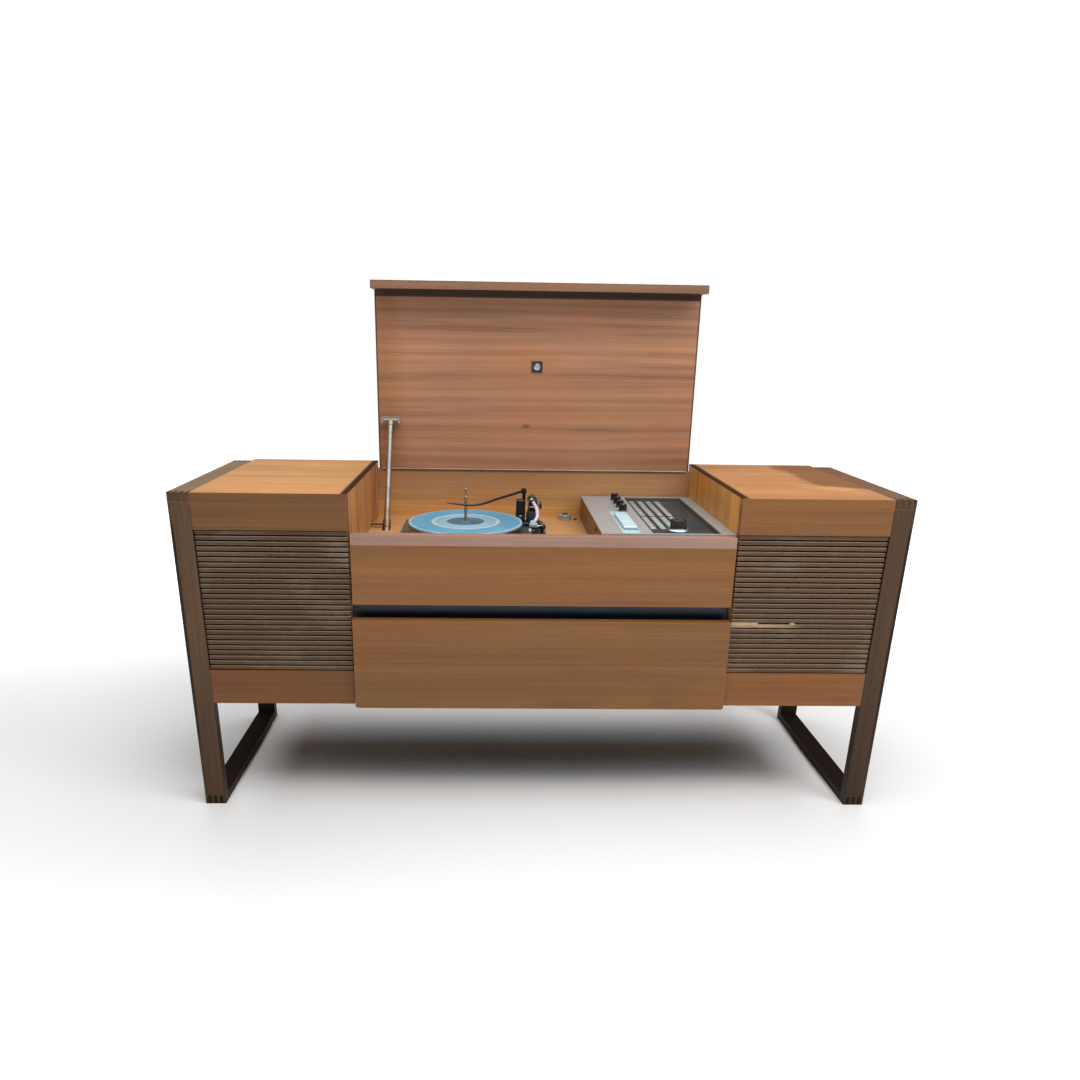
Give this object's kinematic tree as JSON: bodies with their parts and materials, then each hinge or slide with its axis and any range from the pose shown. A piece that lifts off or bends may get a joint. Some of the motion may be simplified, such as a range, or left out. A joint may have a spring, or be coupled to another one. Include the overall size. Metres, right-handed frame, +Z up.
{
  "type": "gramophone cabinet",
  "caption": "Long low music cabinet with an open lidded well holding a record player and a tuner, a drawer below, and slatted speaker boxes between canted sled frames.",
  "frame": {"origin": "centre of the bounding box, on the floor", "axes": "+Z up, the front faces -Y, +X to the right of a person in front"},
  "size_m": [1.678, 0.526, 1.2568],
  "materials": {
    "frame": "oiled walnut, satin",
    "top": "teak veneer, satin",
    "teak_side": "teak veneer, satin",
    "teak_front": "teak veneer, satin",
    "slat": "stained slats, matt",
    "black_board": "black stained, matt",
    "speaker_grey": "stove enamel",
    "hardboard": "pressed hardboard, matt",
    "well_teak": "teak veneer, satin",
    "bottom_board": "plain board",
    "lipping": "solid lipping, satin",
    "lid_veneer": "teak veneer, satin",
    "badge": "enamel with a bright edge",
    "hinge_metal": "dull brass",
    "chrome": "bright plated",
    "drawer_ply": "birch plywood",
    "dark_enamel": "dark enamel, satin",
    "platter_alu": "turned",
    "mat_rubber": "moulded, matt",
    "motor_steel": "plated steel",
    "tuner_wood": "teak veneer, satin",
    "fascia_alu": "brushed",
    "dial_glass": "smoked",
    "dial_black": "printed scales on black",
    "pointer_red": "enamel",
    "black_knob": "moulded",
    "key_metal": "satin plated"
  },
  "bodies": {
    "cabinet": {"left_frame_posts": "frame", "left_frame_rails": "frame", "right_frame_posts": "frame", "right_frame_rails": "frame", "left_box_top": "top", "right_box_top": "top", "left_box_carcass": "teak_side", "right_box_carcass": "teak_side", "left_box_front": "teak_front", "right_box_front": "teak_front", "upper_front_panel": "teak_front", "left_grille_slats": "slat", "right_grille_slats": "slat", "left_baffle": "black_board", "right_baffle": "black_board", "finger_channel": "black_board", "left_speaker": "speaker_grey", "right_speaker": "speaker_grey", "back_panels": "hardboard", "well_sides": "well_teak", "back_wall": "well_teak", "deck_board": "well_teak", "centre_bottom": "bottom_board", "front_rail": "lipping", "hinge_wall_leaf": "hinge_metal", "spindle": "chrome", "turntable_plate": "dark_enamel", "tonearm_base": "dark_enamel", "turntable_motor": "motor_steel", "amplifier_chassis": "motor_steel", "tuner_case": "tuner_wood", "tuner_plate": "fascia_alu", "dial_glass": "dial_glass", "dial_tray": "dial_black"},
    "lid": {"lid_panel": "lid_veneer", "lid_apron": "lipping", "lid_badge": "badge", "hinge_lid_leaf": "hinge_metal", "stay_lid_bracket": "chrome"},
    "stay_guide": {"stay_guide": "chrome"},
    "stay_tube": {"stay_tube": "chrome"},
    "drawer": {"drawer_front": "teak_front", "drawer_box": "drawer_ply"},
    "platter": {"platter": "platter_alu", "platter_mat": "mat_rubber"},
    "overarm": {"overarm": "dark_enamel"},
    "tonearm_yoke": {"tonearm_yoke": "dark_enamel"},
    "tonearm": {"tonearm": "chrome"},
    "start_lever": {"start_lever": "chrome"},
    "record_adapter": {"record_adapter": "chrome"},
    "dial_pointer": {"dial_pointer": "pointer_red"},
    "tuning_knob": {"tuning_knob": "black_knob"},
    "volume_knob": {"volume_knob": "black_knob"},
    "bass_knob": {"bass_knob": "black_knob"},
    "treble_knob": {"treble_knob": "black_knob"},
    "balance_knob": {"balance_knob": "black_knob"},
    "key_power": {"key_power": "key_metal"},
    "key_radio": {"key_radio": "key_metal"},
    "key_phono": {"key_phono": "key_metal"}
  },
  "joints": [
    {"name": "lid_hinge", "type": "hinge", "parent": "cabinet", "child": "lid", "pos_m": [0, 0.2434, 0.7604], "axis": [1, 0, 0], "range_deg": [0, 90]},
    {"name": "stay_guide_pivot", "type": "hinge", "parent": "cabinet", "child": "stay_guide", "pos_m": [-0.401, 0.087, 0.637], "axis": [1, 0, 0], "range_deg": [0, 17.99]},
    {"name": "stay_tube_slide", "type": "slide", "parent": "stay_guide", "child": "stay_tube", "axis": [0, 0.4786, 0.878], "range_m": [-0.18563, 0]},
    {"name": "drawer_slide", "type": "slide", "parent": "cabinet", "child": "drawer", "axis": [0, -1, 0], "range_m": [0, 0.34]},
    {"name": "platter_spin", "type": "hinge", "parent": "cabinet", "child": "platter", "pos_m": [-0.186, -0.031, 0.66], "axis": [0, 0, 1], "continuous": true},
    {"name": "overarm_swing", "type": "hinge", "parent": "cabinet", "child": "overarm", "pos_m": [-0.035, 0.097, 0.64], "axis": [0, 0, 1], "range_deg": [0, 40]},
    {"name": "tonearm_swing", "type": "hinge", "parent": "cabinet", "child": "tonearm_yoke", "pos_m": [-0.012, 0.069, 0.674], "axis": [0, 0, 1], "range_deg": [-45, 0]},
    {"name": "tonearm_lift", "type": "hinge", "parent": "tonearm_yoke", "child": "tonearm", "pos_m": [-0.012, 0.069, 0.702], "axis": [-1, 0, 0], "range_deg": [0, 15]},
    {"name": "start_lever_turn", "type": "hinge", "parent": "cabinet", "child": "start_lever", "pos_m": [0.004, -0.155, 0.64], "axis": [0, 0, 1], "range_deg": [0, 30]},
    {"name": "adapter_lift", "type": "slide", "parent": "cabinet", "child": "record_adapter", "axis": [0, 0, 1], "range_m": [0, 0.12]},
    {"name": "tuning_turn", "type": "hinge", "parent": "cabinet", "child": "tuning_knob", "pos_m": [0.3165, -0.19, 0.691], "axis": [0, 0, 1], "range_deg": [-720, 720]},
    {"name": "pointer_slide", "type": "slide", "parent": "cabinet", "child": "dial_pointer", "axis": [0, 1, 0], "range_m": [-0.151, 0.151]},
    {"name": "volume_turn", "type": "hinge", "parent": "cabinet", "child": "volume_knob", "pos_m": [0.2205, 0.027, 0.691], "axis": [0, 0, 1], "range_deg": [-150, 150]},
    {"name": "bass_turn", "type": "hinge", "parent": "cabinet", "child": "bass_knob", "pos_m": [0.2205, 0.077, 0.691], "axis": [0, 0, 1], "range_deg": [-150, 150]},
    {"name": "treble_turn", "type": "hinge", "parent": "cabinet", "child": "treble_knob", "pos_m": [0.2205, 0.127, 0.691], "axis": [0, 0, 1], "range_deg": [-150, 150]},
    {"name": "balance_turn", "type": "hinge", "parent": "cabinet", "child": "balance_knob", "pos_m": [0.2205, 0.177, 0.691], "axis": [0, 0, 1], "range_deg": [-150, 150]},
    {"name": "power_press", "type": "slide", "parent": "cabinet", "child": "key_power", "axis": [0, 0, -1], "range_m": [0, 0.004], "stiffness_N_per_m": 400, "springref_m": -0.002},
    {"name": "radio_press", "type": "slide", "parent": "cabinet", "child": "key_radio", "axis": [0, 0, -1], "range_m": [0, 0.004], "stiffness_N_per_m": 400, "springref_m": -0.002},
    {"name": "phono_press", "type": "slide", "parent": "cabinet", "child": "key_phono", "axis": [0, 0, -1], "range_m": [0, 0.004], "stiffness_N_per_m": 400, "springref_m": -0.002}
  ],
  "couplings": [
    {"joint": "stay_guide_pivot", "follows": "lid_hinge", "ratio": 0.1993},
    {"joint": "stay_tube_slide", "follows": "lid_hinge", "m_per_rad": -0.11786},
    {"joint": "pointer_slide", "follows": "tuning_turn", "m_per_rad": 0.011937}
  ]
}
